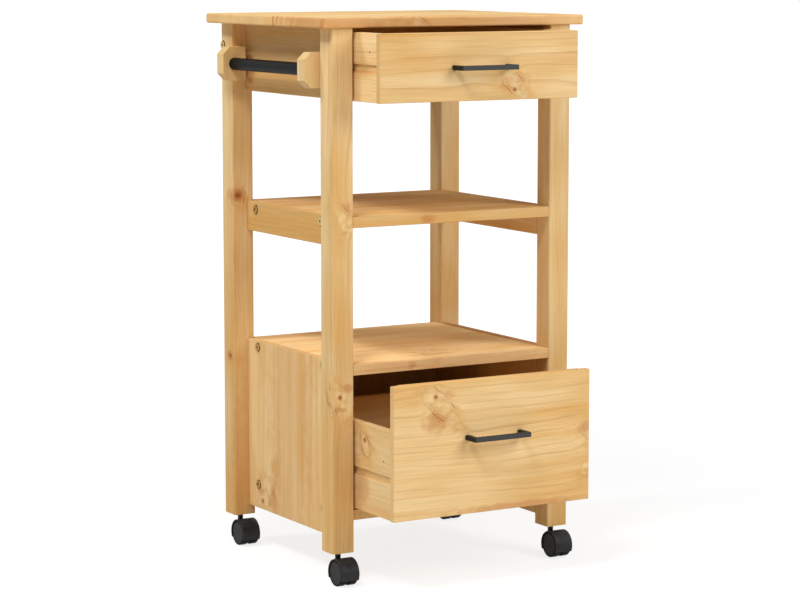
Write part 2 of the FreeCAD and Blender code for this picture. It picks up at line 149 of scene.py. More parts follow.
def from_middle(tree, spot, node_name):
    """Place measured from the middle of a piece, in m."""
    low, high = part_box(node_name)
    middle = (low + high) / 2
    return add(tree, "VectorMath", {0: spot.outputs["Object"], 1: middle}, operation="SUBTRACT")


def on_faces(tree, normal, axis, full):
    """1 on the faces that look along an axis to within a full share of it, less on rounded edges."""
    share = add(tree, "VectorMath", {0: normal, 1: axis}, operation="DOT_PRODUCT").outputs["Value"]
    share = add(tree, "Math", {0: share}, operation="ABSOLUTE")
    return add(tree, "MapRange", {"Value": share, "From Min": 0.6, "From Max": full})


# Pine


def lay_over(tree, colour, layers):
    """Mix colours over one another, each by its own amount."""
    for amount, layer in layers:
        colour = add(tree, "Mix", {"Factor": amount, "A": colour, "B": opaque(layer)}, data_type="RGBA")
    return colour


def streaks(tree, place, length, width, detail):
    """Noise drawn out along the grain, with streaks of that length and width in mm."""
    share = (1 / length, 1 / width, 1 / width)
    stretched = add(tree, "VectorMath", {0: place, 1: share}, operation="MULTIPLY")
    return add(tree, "TexNoise", {"Vector": stretched, "Scale": 1.0, "Detail": detail})


def board_axes(tree, node_name):
    """Distances from the middle of the board in mm, and the surface's direction."""
    spot = add(tree, "TexCoord")
    moved = from_middle(tree, spot, node_name)
    scaled = add(tree, "VectorMath", {0: moved, "Scale": 1 / MM}, operation="SCALE")
    return add(tree, "SeparateXYZ", {0: scaled}), spot.outputs["Normal"]


def half_size(node_name, axis):
    """From the middle of a board to its end along an axis, in mm."""
    low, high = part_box(node_name)
    return (high - low)["XYZ".index(axis)] / 2 / MM


def split_staves(tree, across, board, seed):
    """Place in the stave from 0 to 1, and three chance values that each stave has to itself."""
    moved = add(tree, "Math", {0: across, 1: board.joint}, operation="SUBTRACT")
    count = add(tree, "Math", {0: moved, 1: board.stave}, operation="DIVIDE")
    inside = add(tree, "Math", {0: count}, operation="FRACT")
    stave = add(tree, "Math", {0: count}, operation="FLOOR")
    number = add(tree, "Math", {0: stave, 1: SEED_STEP * seed}, operation="ADD")
    chance = add(tree, "TexWhiteNoise", {"W": number}, noise_dimensions="1D")
    return inside, add(tree, "SeparateColor", {0: chance.outputs["Color"]}).outputs


def shares_of(tree, axes, board, mark, centre, size, turn=0.0):
    """Place along, across and into the board, from a centre, as shares of a size in mm."""
    spread = mark.axis or board.across
    inward = axes.outputs["XYZ".replace(board.grain, "").replace(spread, "")]
    flat = {"X": axes.outputs[board.grain], "Y": axes.outputs[spread], "Z": inward}
    flat = add(tree, "CombineXYZ", flat)
    moved = add(tree, "VectorMath", {0: flat, 1: (*centre, mark.face)}, operation="SUBTRACT")
    angle = -math.radians(turn)
    turned = add(tree, "VectorRotate", {"Vector": moved, "Angle": angle}, rotation_type="Z_AXIS")
    share = (1 / size[0], 1 / size[1], 1 / mark.reach)
    return add(tree, "VectorMath", {0: turned, 1: share}, operation="MULTIPLY")


def ragged_length(tree, shares, place, roughness):
    """Distance as a share of the size, uneven by a roughness."""
    ragged = streaks(tree, place, RAGGED_SIZE, RAGGED_SIZE, detail=1.0)
    ragged = add(tree, "MapRange", {"Value": ragged, "To Min": -roughness, "To Max": roughness})
    length = add(tree, "VectorMath", {0: shares}, operation="LENGTH").outputs["Value"]
    return add(tree, "Math", {0: length, 1: ragged}, operation="ADD")


def knot_marks(tree, axes, place, board, knot):
    """The fields of a knot that drops in width towards its tail."""
    size = (knot.long, knot.wide)
    shares = shares_of(tree, axes, board, knot, (knot.along, knot.across), size, knot.turn)
    sides = add(tree, "SeparateXYZ", {0: shares}).outputs
    taper = add(tree, "Math", {0: sides["X"], 1: 0.4, 2: 1.0}, operation="MULTIPLY_ADD")
    narrowed = add(tree, "Math", {0: sides["Y"], 1: taper}, operation="MULTIPLY")
    shaped = add(tree, "CombineXYZ", {"X": sides["X"], "Y": narrowed, "Z": sides["Z"]})
    figure = ragged_length(tree, shaped, place, roughness=0.3)
    tip = add(tree, "Math", {0: sides["X"]}, operation="ABSOLUTE")
    flank = {"Value": tip, "From Min": 0.3, "From Max": 1.0, "To Min": 1.0, "To Max": 0.15}
    flank = add(tree, "MapRange", flank)
    if not knot.heart:
        return Mark(figure, flank, None)
    radius, along, across = knot.heart
    centre = (knot.along + along, knot.across + across)
    shares = shares_of(tree, axes, board, knot, centre, (radius, radius))
    return Mark(figure, flank, ragged_length(tree, shares, place, roughness=0.5))


def late_wood(tree, across, deep, place, luck, board, marks):
    """How much of the surface is late wood: a slow rise and a sharp end in each ring."""
    spread = PITH_SPREAD if board.stave < ONE_PIECE else 0
    low, high = -board.pith - spread, -board.pith + spread
    pith = add(tree, "MapRange", {"Value": luck["Green"], "To Min": low, "To Max": high})
    from_pith = add(tree, "Math", {0: across, 1: pith}, operation="ADD")
    behind = add(tree, "Math", {0: deep, 1: board.depth}, operation="ADD")
    section = add(tree, "CombineXYZ", {"Y": from_pith, "Z": behind})
    ring = add(tree, "VectorMath", {0: section}, operation="LENGTH").outputs["Value"]
    for length, width, reach in RING_SWAYS:
        sway = streaks(tree, place, length, width, detail=1.0)
        sway = add(tree, "MapRange", {"Value": sway, "To Min": -reach, "To Max": reach})
        ring = add(tree, "Math", {0: ring, 1: sway}, operation="ADD")
    # Rings bend round a knot
    for knot, mark in zip(board.knots, marks):
        lift = {"Value": mark.figure, "From Max": 2.4, "To Min": 0.7 * knot.wide, "To Max": 0.0}
        lift = add(tree, "MapRange", lift, interpolation_type="SMOOTHERSTEP")
        ring = add(tree, "Math", {0: ring, 1: lift}, operation="ADD")
    # Wide and narrow years
    ring = add(tree, "Math", {0: ring, 1: board.rings}, operation="DIVIDE")
    uneven = add(tree, "TexNoise", {"W": ring, "Scale": 0.45, "Detail": 1.0}, noise_dimensions="1D")
    ring = add(tree, "Math", {0: uneven, 1: 1.6, 2: ring}, operation="MULTIPLY_ADD")
    # The line of each ring, strong in one place and faint in another, and lost inside a knot
    saw = add(tree, "Math", {0: ring}, operation="FRACT")
    rise = add(tree, "Math", {0: saw, 1: 9.0}, operation="POWER")
    fall = {"Value": saw, "From Min": 0.95, "From Max": 1.0, "To Min": 1.0, "To Max": 0.0}
    fall = add(tree, "MapRange", fall, interpolation_type="SMOOTHSTEP")
    late = add(tree, "Math", {0: rise, 1: fall}, operation="MULTIPLY")
    strength = streaks(tree, place, length=240, width=20, detail=1.0)
    strength = {"Value": strength, "From Min": 0.34, "From Max": 0.66, "To Min": 0.15}
    strength = add(tree, "MapRange", strength)
    late = add(tree, "Math", {0: late, 1: strength}, operation="MULTIPLY")
    for mark in marks:
        outside = {"Value": mark.figure, "From Min": 0.7, "From Max": 1.1, "To Min": 0.1}
        outside = add(tree, "MapRange", outside)
        late = add(tree, "Math", {0: late, 1: outside}, operation="MULTIPLY")
    return late


def colour_knot(tree, colour, place, knot, mark):
    """Dense golden wood round the knot, mottled pale and golden wood inside, dark dashes along
    its sides, and a red heart."""
    finish = bpy.context.scene.cart_pine
    broken = streaks(tree, place, length=30, width=18, detail=0.0)
    broken = add(tree, "MapRange", {"Value": broken, "From Min": 0.44, "From Max": 0.6})

    near = {"Value": mark.figure, "From Min": 0.9, "From Max": 2.2, "To Min": 0.75, "To Max": 0.0}
    near = add(tree, "MapRange", near, interpolation_type="SMOOTHSTEP")
    patchy = streaks(tree, place, length=45, width=25, detail=1.0)
    patchy = add(tree, "MapRange", {"Value": patchy, "From Min": 0.4, "From Max": 0.6})
    dense = add(tree, "Math", {0: near, 1: patchy}, operation="MULTIPLY")

    inside = {"Value": mark.figure, "From Min": 0.6, "From Max": 1.15, "To Min": 1.0, "To Max": 0.0}
    inside = add(tree, "MapRange", inside, interpolation_type="SMOOTHSTEP")
    mottle = streaks(tree, place, length=14, width=9, detail=2.0)
    light = {"Value": mottle, "From Min": 0.4, "From Max": 0.7, "To Min": 0.1, "To Max": 0.8}
    light = add(tree, "Math", {0: inside, 1: add(tree, "MapRange", light)}, operation="MULTIPLY")
    dark = {"Value": mottle, "From Min": 0.5, "From Max": 0.3, "To Max": 0.6}
    dark = add(tree, "Math", {0: inside, 1: add(tree, "MapRange", dark)}, operation="MULTIPLY")

    # Dashes lie side by side and are gone 7 mm from the edge
    beyond = add(tree, "Math", {0: mark.figure, 1: knot.wide, 2: -knot.wide}, operation="MULTIPLY_ADD")
    dash = add(tree, "Math", {0: beyond, 1: DASH_SPACING / 2}, operation="PINGPONG")
    dash = {"Value": dash, "From Min": 0.2, "From Max": 2.0, "To Min": knot.dashes, "To Max": 0.0}
    dash = add(tree, "MapRange", dash, interpolation_type="SMOOTHSTEP")
    rim = add(tree, "Math", {0: beyond}, operation="ABSOLUTE")
    rim = {"Value": rim, "From Min": 2.0, "From Max": 7.0, "To Min": 1.0, "To Max": 0.0}
    rim = add(tree, "MapRange", rim)
    for share in (dash, broken, mark.flank):
        rim = add(tree, "Math", {0: rim, 1: share}, operation="MULTIPLY")

    layers = [
        (dense, finish.golden_wood),
        (light, finish.pale_wood),
        (dark, finish.golden_wood),
        (rim, finish.knot_rim),
    ]
    if mark.heart:
        stain = {"Value": mark.heart, "From Min": 0.4, "From Max": 2.0, "To Min": 0.85, "To Max": 0.0}
        stain = add(tree, "MapRange", stain, interpolation_type="SMOOTHSTEP")
        core = {"Value": mark.heart, "From Min": 0.2, "From Max": 1.0, "To Min": 0.75, "To Max": 0.0}
        core = add(tree, "MapRange", core, interpolation_type="SMOOTHSTEP")
        layers += [(stain, finish.knot_stain_and_painted_shade), (core, finish.knot_heart)]
    return lay_over(tree, colour, layers)


def smear(tree, axes, place, board, stain):
    """How strongly a stain colours the surface; a few stains are painted shade."""
    size = (stain.long, stain.wide)
    shares = shares_of(tree, axes, board, stain, (stain.along, stain.across), size)
    away = ragged_length(tree, shares, place, roughness=0.6)
    amount = {"Value": away, "From Min": 0.3, "From Max": 1.2, "To Min": stain.strength, "To Max": 0.0}
    return add(tree, "MapRange", amount, interpolation_type="SMOOTHSTEP")


def band_colour(tree, node_name, axes, place, board, late, side):
    """Early wood under broad pale and golden bands, resin at the ends, and the late-wood lines."""
    finish = bpy.context.scene.cart_pine
    bands = streaks(tree, place, length=700, width=30, detail=2.0)
    pale = {"Value": bands, "From Min": 0.5, "From Max": 0.7, "To Max": 0.75 * board.bands}
    pale = add(tree, "Math", {0: add(tree, "MapRange", pale), 1: side}, operation="MULTIPLY")
    gold = {"Value": bands, "From Min": 0.5, "From Max": 0.3, "To Max": 0.7 * board.bands}
    gold = add(tree, "Math", {0: add(tree, "MapRange", gold), 1: side}, operation="MULTIPLY")
    reach = half_size(node_name, board.grain)
    resin = {"Value": axes.outputs[board.grain], "From Min": -reach, "From Max": reach}
    resin = add(tree, "MapRange", {**resin, "To Min": board.gold[0], "To Max": board.gold[1]})
    gold = add(tree, "Math", {0: gold, 1: resin}, operation="ADD")
    blotch = streaks(tree, place, length=170, width=60, detail=1.0)
    blotch = {"Value": blotch, "From Min": 0.35, "From Max": 0.65, "To Min": -0.3, "To Max": 0.3}
    gold = add(tree, "Math", {0: gold, 1: add(tree, "MapRange", blotch)}, operation="ADD")
    lines = add(tree, "Math", {0: late, 1: board.lines}, operation="MULTIPLY")
    layers = ((pale, finish.pale_wood), (gold, finish.golden_wood), (lines, finish.late_wood))
    return lay_over(tree, opaque(finish.early_wood), layers)


def stave_colour(tree, colour, inside, luck, board, fibre):
    """Silky fibres, a tone for each stave, and a thin line at each glue joint."""
    finish = bpy.context.scene.cart_pine
    low, high = 1 - 0.06 * board.bands, 1 + 0.05 * board.bands
    silk = {"Value": fibre, "From Min": 0.3, "From Max": 0.7, "To Min": low, "To Max": high}
    silk = add(tree, "MapRange", silk)
    tone = {"Value": luck["Blue"], "To Min": 0.97 * board.tone, "To Max": 1.02 * board.tone}
    tone = add(tree, "MapRange", tone)
    tone = add(tree, "Math", {0: tone, 1: silk}, operation="MULTIPLY")
    colour = add(
        tree, "Mix", {"Factor": 1.0, "A": colour, "B": tone}, data_type="RGBA", blend_type="MULTIPLY"
    )
    edge = add(tree, "Math", {0: inside, 1: 0.5}, operation="PINGPONG")
    line = finish.glue_line / board.stave
    seam = add(tree, "MapRange", {"Value": edge, "From Max": line, "To Min": 0.25, "To Max": 0.0})
    return lay_over(tree, colour, [(seam, finish.late_wood)])


def pine(node_name, board, seed):
    """Pine, planed, sanded and clear lacquered: straw-yellow early wood between thin brown late-wood
    lines that run with the grain and bend round reddish knots, over fine silky fibres."""
    finish = bpy.context.scene.cart_pine
    material = bpy.data.materials.new("pine_" + node_name)
    tree = empty_tree(material)
    axes, facing = board_axes(tree, node_name)
    across = axes.outputs[board.across]
    deep = axes.outputs["XYZ".replace(board.grain, "").replace(board.across, "")]
    inside, luck = split_staves(tree, across, board, seed)
    along = {0: luck["Red"], 1: STAVE_SHIFT, 2: axes.outputs[board.grain]}
    along = add(tree, "Math", along, operation="MULTIPLY_ADD")
    place = add(tree, "CombineXYZ", {"X": along, "Y": across, "Z": deep})
    marks = [knot_marks(tree, axes, place, board, knot) for knot in board.knots]
    axis = tuple(1.0 if name == board.grain else 0.0 for name in "XYZ")
    end = on_faces(tree, facing, axis, full=0.95)
    late = late_wood(tree, across, deep, place, luck, board, marks)
    # Lines and bands show only a quarter as strongly on end grain
    side = add(tree, "Math", {0: end, 1: -0.75, 2: 1.0}, operation="MULTIPLY_ADD")
    late = add(tree, "Math", {0: late, 1: side}, operation="MULTIPLY")

    colour = band_colour(tree, node_name, axes, place, board, late, side)
    fibre = streaks(tree, place, length=60, width=finish.fibre_width, detail=2.0)
    colour = stave_colour(tree, colour, inside, luck, board, fibre)
    for knot, mark in zip(board.knots, marks):
        colour = colour_knot(tree, colour, place, knot, mark)

    # End grain drinks more lacquer and looks darker
    end = add(tree, "Math", {0: end, 1: 0.18}, operation="MULTIPLY")
    layers = [(end, finish.end_grain)]
    # The stains are resin, apart from a few that are painted shade
    layers += [(smear(tree, axes, place, board, stain), finish.knot_stain_and_painted_shade) for stain in board.stains]
    colour = lay_over(tree, colour, layers)

    low, high = finish.roughness - 0.08, finish.roughness + 0.08
    rough = add(tree, "MapRange", {"Value": fibre, "To Min": low, "To Max": high})
    height = add(tree, "Math", {0: late, 1: -0.6, 2: fibre}, operation="MULTIPLY_ADD")
    bump = add(tree, "Bump", {"Strength": 0.25, "Distance": 0.25 * MM, "Height": height})
    look = {"Base Color": colour, "Roughness": rough, "Normal": bump}
    shader = add(tree, "BsdfPrincipled", {**look, "Specular IOR Level": finish.sheen})
    add(tree, "OutputMaterial", {"Surface": shader})
    dress(node_name, material)


def cut_boards(boards, first_seed):
    """Finish a group of boards, each from its own part of a tree."""
    for index, (node_name, board) in enumerate(boards.items()):
        pine(node_name, board, first_seed + index)


# Metals and plastics


def on_disc(tree, spot, node_name, radius):
    """1 within a radius in mm of a wheel's axle, which lies along X."""
    moved = from_middle(tree, spot, node_name)
    flat = add(tree, "VectorMath", {0: moved, 1: (0.0, 1.0, 1.0)}, operation="MULTIPLY")
    away = add(tree, "VectorMath", {0: flat}, operation="LENGTH").outputs["Value"]
    edge = {"From Min": (radius - DISH_EDGE) * MM, "From Max": radius * MM, "To Min": 1.0, "To Max": 0.0}
    return add(tree, "MapRange", {"Value": away, **edge})


def plain_finish(
    name, node_names, colours, grain, rough, sheen=0.5, metallic=0.0, patch=None, face=None, disc=None
):
    """A finish of two colours with a fine grain, in mm. The second colour lies in patches of a size
    in mm, on the faces that look along an axis, or on the disc of a wheel."""
    material = bpy.data.materials.new(name)
    tree = empty_tree(material)
    spot = add(tree, "TexCoord")
    place = spot.outputs["Object"]
    if face:
        share = on_faces(tree, spot.outputs["Normal"], face, full=0.98)
    elif disc:
        share = on_disc(tree, spot, node_names[0], disc)
    else:
        share = add(tree, "TexNoise", {"Vector": place, "Scale": 1 / (patch * MM), "Detail": 3.0})
        share = add(tree, "MapRange", {"Value": share, "From Min": 0.3, "From Max": 0.7})
    first, second = (opaque(colour) for colour in colours)
    tint = add(tree, "Mix", {"Factor": share, "A": first, "B": second}, data_type="RGBA")
    peel = add(tree, "TexNoise", {"Vector": place, "Scale": 1 / (grain * MM), "Detail": 2.0})
    gloss = add(tree, "MapRange", {"Value": peel, "To Min": rough - 0.1, "To Max": rough + 0.1})
    bump = add(tree, "Bump", {"Strength": 0.4, "Distance": 0.04 * MM, "Height": peel})
    look = {"Base Color": tint, "Roughness": gloss, "Normal": bump, "Metallic": metallic}
    shader = add(tree, "BsdfPrincipled", {**look, "Specular IOR Level": sheen})
    add(tree, "OutputMaterial", {"Surface": shader})
    for node_name in node_names:
        dress(node_name, material)


# Settings


def colour_setting(name, description, hex_colour):
    return bpy.props.FloatVectorProperty(
        name=name,
        description=description,
        subtype="COLOR",
        size=3,
        min=0.0,
        max=1.0,
        default=linear(hex_colour),
    )


class CartPine(bpy.types.PropertyGroup):
    """Clear lacquered pine."""

    early_wood: colour_setting("Early wood", "Wide straw-coloured part of each ring", "EAC58C")
    late_wood: colour_setting("Late wood", "Thin brown line at the end of each ring", "B97F45")
    pale_wood: colour_setting("Pale wood", "Sapwood bands and the inside of a knot", "F2D5A2")
    golden_wood: colour_setting("Golden wood", "Bands rich in resin", "DFAE6A")
    end_grain: colour_setting("End grain", "Ends of the boards", "B98A52")
    knot_rim: colour_setting("Knot rim", "Short dark dashes along a knot", "A86F3B")
    # This colour also paints shade, in the stains that stand for shadow
    knot_stain_and_painted_shade: colour_setting("Knot stain", "Wood round the heart of a knot", "C27A43")
    knot_heart: colour_setting("Knot heart", "Heart of a knot", "84491F")
    fibre_width: bpy.props.FloatProperty(
        name="Fibre width",
        description="Width of the silky fibres in millimetres, coarser than life so that they show",
        default=2.4,
        min=0.2,
    )
    glue_line: bpy.props.FloatProperty(
        name="Glue line",
        description="Half width of the joint between staves, in millimetres",
        default=0.8,
        min=0.0,
    )
    roughness: bpy.props.FloatProperty(
        name="Roughness",
        description="Roughness of the lacquer",
        subtype="FACTOR",
        default=0.7,
        min=0.1,
        max=0.9,
    )
    sheen: bpy.props.FloatProperty(
        name="Sheen",
        description="Strength of the lacquer's reflection, low for a thin matt coat",
        subtype="FACTOR",
        default=0.02,
        min=0.0,
        max=1.0,
    )


class CartFittings(bpy.types.PropertyGroup):
    """Metal and plastic pieces."""

    handle: colour_setting("Handles", "Charcoal powder coat", "232322")
    # The paler colour of the handle fronts is a painted highlight
    handle_front_painted_highlight: colour_setting("Handle fronts", "Charcoal powder coat, rubbed by hands", "454645")
    bar: colour_setting("Towel bar", "Black powder coat", "0A0C0D")
    # The darker colour on the bolt rims is painted shade
    bolt_rim_painted_shade: colour_setting("Bolt rims", "Yellow passivated zinc, dull at the rim", "6E5C34")
    bolt_face: colour_setting("Bolt faces", "Yellow passivated zinc, bright on the face", "C4A66A")
    steel: colour_setting("Screws", "Bright zinc", "C3C5C6")
    hood: colour_setting("Castor hoods", "Black moulded nylon", "222223")
    stem: colour_setting("Castor stems", "Black zinc", "262629")
    rim: colour_setting("Wheel rims", "Black moulded nylon", "080809")
    wheel: colour_setting("Wheel discs", "Dark grey moulded nylon", "373738")
    dowel: colour_setting("Dowels", "Turned beech", "D7B088")


class CartStage(bpy.types.PropertyGroup):
    """Floor, light and camera."""

    aim: bpy.props.FloatVectorProperty(
        name="Aim",
        description="Point that the camera looks at",
        subtype="TRANSLATION",
        unit="LENGTH",
        default=(0.0104, -0.0065, 0.4169),
    )
    azimuth: bpy.props.FloatProperty(
        name="Azimuth",
        description="Camera to the right of the front, seen from above",
        subtype="ANGLE",
        default=math.radians(-30.313),
    )
    elevation: bpy.props.FloatProperty(
        name="Elevation",
        description="Camera above the level",
        subtype="ANGLE",
        default=math.radians(7.503),
    )
    distance: bpy.props.FloatProperty(
        name="Distance",
        description="Camera to its aim",
        unit="LENGTH",
        default=4.3524,
        min=1.0,
    )
    lens: bpy.props.FloatProperty(
        name="Lens",
        description="Focal length on a 36 mm sensor",
        unit="CAMERA",
        default=118.63,
        min=10.0,
    )
    sky: bpy.props.FloatProperty(
        name="Sky",
        description="Even light from all round",
        subtype="FACTOR",
        default=0.28,
        min=0.0,
        max=1.0,
    )
    key_power: bpy.props.FloatProperty(
        name="Key light",
        description="Lamp at the front left, above",
        unit="POWER",
        default=31.0,
        min=0.0,
    )
    fill_power: bpy.props.FloatProperty(
        name="Fill light",
        description="Lamp at the front right, lower",
        unit="POWER",
        default=36.0,
        min=0.0,
    )
    side_power: bpy.props.FloatProperty(
        name="Side light",
        description="Lamp on the left, above",
        unit="POWER",
        default=25.0,
        min=0.0,
    )
    floor: colour_setting("Floor", "Pale floor", "F4F4F2")


# Pieces


class CART_OT_worktop(bpy.types.Operator):
    """Finish the worktop, glued up from staves along its width."""

    bl_idname = "cart.worktop"
    bl_label = "Worktop"

    def execute(self, context):
        left_end = -half_size("table_top", "X")
        front_face = -half_size("table_top", "Y")
        edge_knot = Knot(-70, 0, 24, 9, turn=-25, axis="Z", face=front_face, reach=40)
        end_streaks = (Stain(left_end, -39, 4, 3.0, 0.9), Stain(left_end, -53, 4, 2.0, 0.7))
        near_end = Stain(left_end, -150, 6, 110, 0.5)
        front_edge = Stain(0, 0, 400, 30, 0.3, axis="Z", face=front_face, reach=10)
        front_corner = Stain(-190, 0, 90, 30, 0.3, axis="Z", face=front_face, reach=10)
        stains = (*end_streaks, near_end, front_edge, front_corner)
        top = Board("X", "Y", pith=10, depth=48, rings=8, lines=0.65, tone=1.08, gold=(0.1, 0.1))
        top = top._replace(stave=62, joint=-45, knots=(edge_knot,), stains=stains)
        cut_boards({"table_top": top}, first_seed=1)
        return {"FINISHED"}


class CART_OT_legs(bpy.types.Operator):
    """Finish the four legs, with the grain upright."""

    bl_idname = "cart.legs"
    bl_label = "Legs"

    def execute(self, context):
        # The legs are square, so their front and left faces lie as far from the middle
        face = -half_size("leg_front_left", "X")
        swirl = Knot(118, 2, 26, 13, turn=-25, face=face, reach=25)
        swirl_shade = Stain(132, 7, 15, 10, 0.4, face=face, reach=25)
        spike = Knot(-168, -3, 32, 13, turn=-20, heart=(3.0, 6, -3), face=face, reach=25, dashes=1.0)
        spike_head = Stain(-148, 9, 8, 10, 0.5)
        spike_foot = Stain(-181, -6, 5, 12, 0.5, face=face, reach=25)
        front = Board("Z", "X", pith=42, depth=60, lines=0.55, tone=1.02, gold=(0.6, -0.2))
        front = front._replace(knots=(swirl, spike), stains=(swirl_shade, spike_head, spike_foot))
        red_knot = Knot(127, -10, 18, 10, heart=(9.0, 0, 0), face=face, reach=16)
        side_knot = Knot(-141, -6, 9, 9, heart=(6.0, 0, 0), axis="Y", face=face, reach=16)
        red_foot = Stain(-330, 0, 150, 60, 0.25, face=face, reach=10)
        back = Board("Z", "X", pith=-40, depth=65, lines=0.6, gold=(0.5, -0.1))
        boards = {
            "leg_front_left": front,
            # The front right leg grows richer in resin towards its foot: partly real, partly painted shade
            # under the bottom drawer
            "leg_front_right": Board("Z", "X", pith=-50, depth=54, tone=0.98, gold=(0.7, 0.0)),
            "leg_back_left": back._replace(knots=(red_knot, side_knot), stains=(red_foot,)),
            "leg_back_right": Board("Z", "X", pith=45, depth=-58, tone=0.94, gold=(0.5, 0.2)),
        }
        cut_boards(boards, first_seed=11)
        return {"FINISHED"}


class CART_OT_side_boards(bpy.types.Operator):
    """Finish the upper sides, the middle rails and the cabinet sides."""

    bl_idname = "cart.side_boards"
    bl_label = "Side boards"

    def execute(self, context):
        corner_stain = Stain(135, -38, 12, 9, 0.8)
        # Painted shade: a faint red-brown tint over the whole left upper side, which lies in shadow under
        # the worktop
        painted_red_shade = Stain(0, 0, 600, 300, 0.12)
        upper = Board("Y", "Z", pith=-70, depth=50, gold=(0.4, 0.4))
        rail = Board("Y", "Z", pith=-40, depth=46, lines=0.5, tone=0.95, gold=(1.0, 1.0))
        # Painted shade: a dark strip along the top edge of the right middle rail, which lies in shadow
        dark_edge = Stain(0, 24, 400, 6, 0.5)
        low_knot = Knot(-106, 88, 50, 20, turn=-40, heart=(4.0, -20, 12), dashes=0.4)
        low_shades = (Stain(-120, 60, 32, 20, 0.45), Stain(-110, 108, 15, 14, 0.4))
        red_stave = Stain(0, 0, 600, 90, 0.2)
        # Painted shade: the top of the right cabinet side is darkened, where its inner face rises above
        # the lower shelf in shadow
        painted_shade_at_top = Stain(141, 0, 8, 400, 0.5)
        glued = Board("Z", "Y", pith=-30, depth=70, rings=15, lines=0.35, tone=1.06, stave=150, bands=0.5)
        streaky = glued._replace(lines=0.45, tone=1.08, joint=26, bands=0.75)
        boards = {
            "upper_side_left": upper._replace(stains=(corner_stain, painted_red_shade)),
            "upper_side_right": Board("Y", "Z", pith=60, depth=-50),
            "middle_rail_left": rail,
            "middle_rail_right": Board("Y", "Z", pith=40, depth=-40, stains=(dark_edge,)),
            "cabinet_side_left": streaky._replace(knots=(low_knot,), stains=(*low_shades, red_stave)),
            "cabinet_side_right": glued._replace(pith=20, depth=-60, joint=-40, stains=(painted_shade_at_top,)),
        }
        cut_boards(boards, first_seed=21)
        return {"FINISHED"}


class CART_OT_shelves(bpy.types.Operator):
    """Finish the shelves, the cabinet's floor and back, and the upper back rail."""

    bl_idname = "cart.shelves"
    bl_label = "Shelves"

    def execute(self, context):
        front_face = -half_size("middle_shelf", "Y")
        shelf_knot = Knot(2, -115, 34, 22, turn=10, dashes=1.0)
        red_edge = Stain(-49, 0, 17, 8, 0.55, axis="Z", face=front_face, reach=30)
        dark_edge = Stain(-74, -1, 11, 8, 0.45, axis="Z", face=front_face, reach=30)
        whole_edge = Stain(0, 0, 400, 30, 0.3, axis="Z", face=front_face, reach=10)
        # Painted shade: the back of the middle shelf, under the top drawer and the worktop, is smeared
        # darker
        painted_shade_at_back = Stain(0, 120, 400, 200, 0.2)
        glued = Board("X", "Y", pith=10, depth=55, lines=0.4, stave=90, joint=-60)
        lower = glued._replace(pith=-30, lines=0.65, tone=1.19, gold=(-0.3, 0.0), joint=-75)
        upright = Board("Z", "X", pith=0, depth=70, tone=0.9, gold=(0.4, 0.4))
        boards = {
            "middle_shelf": glued._replace(gold=(0.5, 0.5), stains=(red_edge, painted_shade_at_back)),
            "lower_shelf": lower._replace(knots=(shelf_knot,), stains=(dark_edge, whole_edge)),
            "cabinet_floor": glued._replace(depth=-60, lines=0.45),
            "cabinet_back": upright._replace(stave=90, joint=20),
            "upper_back_rail": Board("X", "Z", pith=35, depth=-45),
        }
        cut_boards(boards, first_seed=31)
        return {"FINISHED"}


class CART_OT_towel_rail(bpy.types.Operator):
    """Finish the towel rail's two brackets and its steel bar."""

    bl_idname = "cart.towel_rail"
    bl_label = "Towel rail"

    def execute(self, context):
        boards = {
            "towel_bracket_front": Board("Z", "X", pith=30, depth=25),
            "towel_bracket_back": Board("Z", "X", pith=-30, depth=28),
        }
        cut_boards(boards, first_seed=41)
        # Steel tube, powder coated: near black, with the faint orange peel of fused powder
        colours = context.scene.cart_fittings.bar, linear("101314")
        names = ["towel_bar"]
        plain_finish("black_powder_coat", names, colours, grain=1.6, rough=0.4, sheen=0.06, patch=14)
        return {"FINISHED"}


